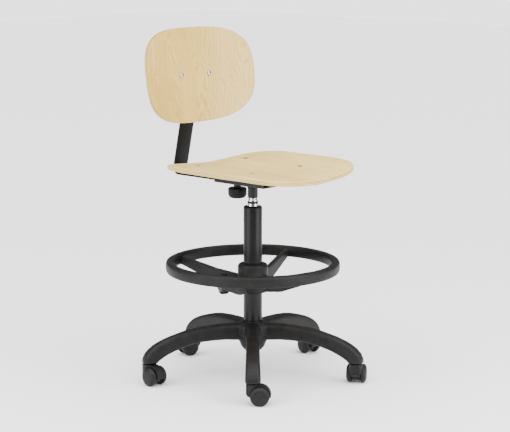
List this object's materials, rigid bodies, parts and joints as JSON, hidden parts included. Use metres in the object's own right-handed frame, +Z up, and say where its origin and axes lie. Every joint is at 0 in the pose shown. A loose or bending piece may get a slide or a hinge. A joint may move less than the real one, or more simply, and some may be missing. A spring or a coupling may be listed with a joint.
{
  "type": "swivel stool",
  "caption": "High swivel work stool with curved plywood seat and back, gas lift column, adjustable foot ring and star base on twin-wheel castors.",
  "frame": {"origin": "on the floor, at the middle of the stool's footprint; the column's axis stands at x = -0.0193 m, y = -0.0173 m", "axes": "+Z up, -Y to the front of the seat, +X to the sitter's left"},
  "size_m": [0.5982, 0.6, 0.9274],
  "materials": {
    "glass_filled_nylon": "moulded black nylon, fine spark-eroded grain, satin",
    "castor_wheel_nylon": "moulded black nylon wheel, smooth satin",
    "black_powder_coat": "black epoxy powder coat, satin",
    "chromed_steel": "bright chromium plate",
    "black_knob_plastic": "black moulded plastic, satin",
    "lacquered_beech_ply": "clear satin lacquer on beech-faced plywood",
    "zinc_plated_steel": "bright zinc plate"
  },
  "bodies": {
    "base": {"star_base": "glass_filled_nylon", "base_collar": "black_knob_plastic", "column_tube": "black_powder_coat", "guide_bush": "black_knob_plastic", "column_floor": "black_powder_coat", "thrust_bearing": "zinc_plated_steel", "rod_clip": "zinc_plated_steel", "piston_rod": "chromed_steel"},
    "foot_ring_carrier": {"foot_ring": "glass_filled_nylon"},
    "ring_clamp": {"ring_knob": "black_knob_plastic", "ring_screw": "zinc_plated_steel"},
    "lift": {"gas_cylinder": "chromed_steel", "cylinder_collar": "black_knob_plastic"},
    "button": {"release_button": "zinc_plated_steel"},
    "seat": {"seat_shell": "lacquered_beech_ply", "seat_bolt_1": "zinc_plated_steel", "seat_bolt_2": "zinc_plated_steel", "seat_bolt_3": "zinc_plated_steel", "seat_bolt_4": "zinc_plated_steel", "mount_plate": "black_powder_coat", "seat_socket": "black_powder_coat", "lever_pin": "zinc_plated_steel"},
    "lever": {"release_lever": "black_powder_coat", "lever_grip": "black_knob_plastic"},
    "back": {"back_bar": "black_powder_coat", "back_plate": "black_powder_coat", "back_shell": "lacquered_beech_ply", "back_bolt_1": "zinc_plated_steel", "back_bolt_2": "zinc_plated_steel", "back_nut_1": "zinc_plated_steel", "back_nut_2": "zinc_plated_steel"},
    "depth_clamp": {"depth_knob": "black_knob_plastic", "depth_screw": "zinc_plated_steel"},
    "castor_1": {"castor_1_housing": "glass_filled_nylon", "castor_1_stem": "zinc_plated_steel", "castor_1_axle": "zinc_plated_steel"},
    "castor_1_left": {"castor_1_wheel_left": "castor_wheel_nylon"},
    "castor_1_right": {"castor_1_wheel_right": "castor_wheel_nylon"},
    "castor_2": {"castor_2_housing": "glass_filled_nylon", "castor_2_stem": "zinc_plated_steel", "castor_2_axle": "zinc_plated_steel"},
    "castor_2_left": {"castor_2_wheel_left": "castor_wheel_nylon"},
    "castor_2_right": {"castor_2_wheel_right": "castor_wheel_nylon"},
    "castor_3": {"castor_3_housing": "glass_filled_nylon", "castor_3_stem": "zinc_plated_steel", "castor_3_axle": "zinc_plated_steel"},
    "castor_3_left": {"castor_3_wheel_left": "castor_wheel_nylon"},
    "castor_3_right": {"castor_3_wheel_right": "castor_wheel_nylon"},
    "castor_4": {"castor_4_housing": "glass_filled_nylon", "castor_4_stem": "zinc_plated_steel", "castor_4_axle": "zinc_plated_steel"},
    "castor_4_left": {"castor_4_wheel_left": "castor_wheel_nylon"},
    "castor_4_right": {"castor_4_wheel_right": "castor_wheel_nylon"},
    "castor_5": {"castor_5_housing": "glass_filled_nylon", "castor_5_stem": "zinc_plated_steel", "castor_5_axle": "zinc_plated_steel"},
    "castor_5_left": {"castor_5_wheel_left": "castor_wheel_nylon"},
    "castor_5_right": {"castor_5_wheel_right": "castor_wheel_nylon"}
  },
  "joints": [
    {"name": "ring_height", "type": "slide", "parent": "base", "child": "foot_ring_carrier", "axis": [0, 0, 1], "range_m": [-0.07, 0.14]},
    {"name": "ring_knob_turn", "type": "hinge", "parent": "foot_ring_carrier", "child": "ring_clamp", "pos_m": [-0.08405, 0.01641, 0.2575], "axis": [-0.887, 0.4617, 0], "range_deg": [0, 720]},
    {"name": "gas_lift", "type": "slide", "parent": "base", "child": "lift", "axis": [0, 0, 1], "range_m": [0, 0.2]},
    {"name": "seat_swivel", "type": "hinge", "parent": "lift", "child": "seat", "pos_m": [-0.0193, -0.0173, 0.5], "axis": [0, 0, 1], "continuous": true},
    {"name": "lever_lift", "type": "hinge", "parent": "seat", "child": "lever", "pos_m": [0.0057, -0.0173, 0.5345], "axis": [0, -1, 0], "range_deg": [0, 7], "stiffness_Nm_per_rad": 2, "springref_deg": -2.86},
    {"name": "button_press", "type": "slide", "parent": "lift", "child": "button", "axis": [0, 0, -1], "range_m": [0, 0.0033], "stiffness_N_per_m": 400, "springref_m": -0.001},
    {"name": "back_depth", "type": "slide", "parent": "seat", "child": "back", "axis": [0, 1, 0], "range_m": [-0.02, 0.015]},
    {"name": "depth_knob_turn", "type": "hinge", "parent": "seat", "child": "depth_clamp", "pos_m": [-0.0193, 0.0392, 0.4797], "axis": [0, 0, 1], "range_deg": [0, 720]},
    {"name": "castor_1_swivel", "type": "hinge", "parent": "base", "child": "castor_1", "pos_m": [-0.2292, -0.21303, 0.05], "axis": [0, 0, 1], "continuous": true},
    {"name": "castor_1_left_roll", "type": "hinge", "parent": "castor_1", "child": "castor_1_left", "pos_m": [-0.21763, -0.22682, 0.025], "axis": [0.766, 0.6428, 0], "continuous": true},
    {"name": "castor_1_right_roll", "type": "hinge", "parent": "castor_1", "child": "castor_1_right", "pos_m": [-0.21763, -0.22682, 0.025], "axis": [0.766, 0.6428, 0], "continuous": true},
    {"name": "castor_2_swivel", "type": "hinge", "parent": "base", "child": "castor_2", "pos_m": [0.10199, -0.27741, 0.05], "axis": [0, 0, 1], "continuous": true},
    {"name": "castor_2_left_roll", "type": "hinge", "parent": "castor_2", "child": "castor_2_left", "pos_m": [0.11709, -0.26761, 0.025], "axis": [-0.5446, 0.8387, 0], "continuous": true},
    {"name": "castor_2_right_roll", "type": "hinge", "parent": "castor_2", "child": "castor_2_right", "pos_m": [0.11709, -0.26761, 0.025], "axis": [-0.5446, 0.8387, 0], "continuous": true},
    {"name": "castor_3_swivel", "type": "hinge", "parent": "base", "child": "castor_3", "pos_m": [0.26556, 0.01768, 0.05], "axis": [0, 0, 1], "continuous": true},
    {"name": "castor_3_left_roll", "type": "hinge", "parent": "castor_3", "child": "castor_3_left", "pos_m": [0.26961, 0.03522, 0.025], "axis": [-0.9744, 0.225, 0], "continuous": true},
    {"name": "castor_3_right_roll", "type": "hinge", "parent": "castor_3", "child": "castor_3_right", "pos_m": [0.26961, 0.03522, 0.025], "axis": [-0.9744, 0.225, 0], "continuous": true},
    {"name": "castor_4_swivel", "type": "hinge", "parent": "base", "child": "castor_4", "pos_m": [0.03546, 0.26443, 0.05], "axis": [0, 0, 1], "continuous": true},
    {"name": "castor_4_left_roll", "type": "hinge", "parent": "castor_4", "child": "castor_4_left", "pos_m": [0.01825, 0.26969, 0.025], "axis": [-0.2924, -0.9563, 0], "continuous": true},
    {"name": "castor_4_right_roll", "type": "hinge", "parent": "castor_4", "child": "castor_4_right", "pos_m": [0.01825, 0.26969, 0.025], "axis": [-0.2924, -0.9563, 0], "continuous": true},
    {"name": "castor_5_swivel", "type": "hinge", "parent": "base", "child": "castor_5", "pos_m": [-0.27032, 0.12184, 0.05], "axis": [0, 0, 1], "continuous": true},
    {"name": "castor_5_left_roll", "type": "hinge", "parent": "castor_5", "child": "castor_5_left", "pos_m": [-0.27126, 0.10386, 0.025], "axis": [0.9986, -0.0523, 0], "continuous": true},
    {"name": "castor_5_right_roll", "type": "hinge", "parent": "castor_5", "child": "castor_5_right", "pos_m": [-0.27126, 0.10386, 0.025], "axis": [0.9986, -0.0523, 0], "continuous": true}
  ],
  "couplings": [
    {"joint": "button_press", "follows": "lever_lift", "m_per_rad": 0.0262}
  ]
}
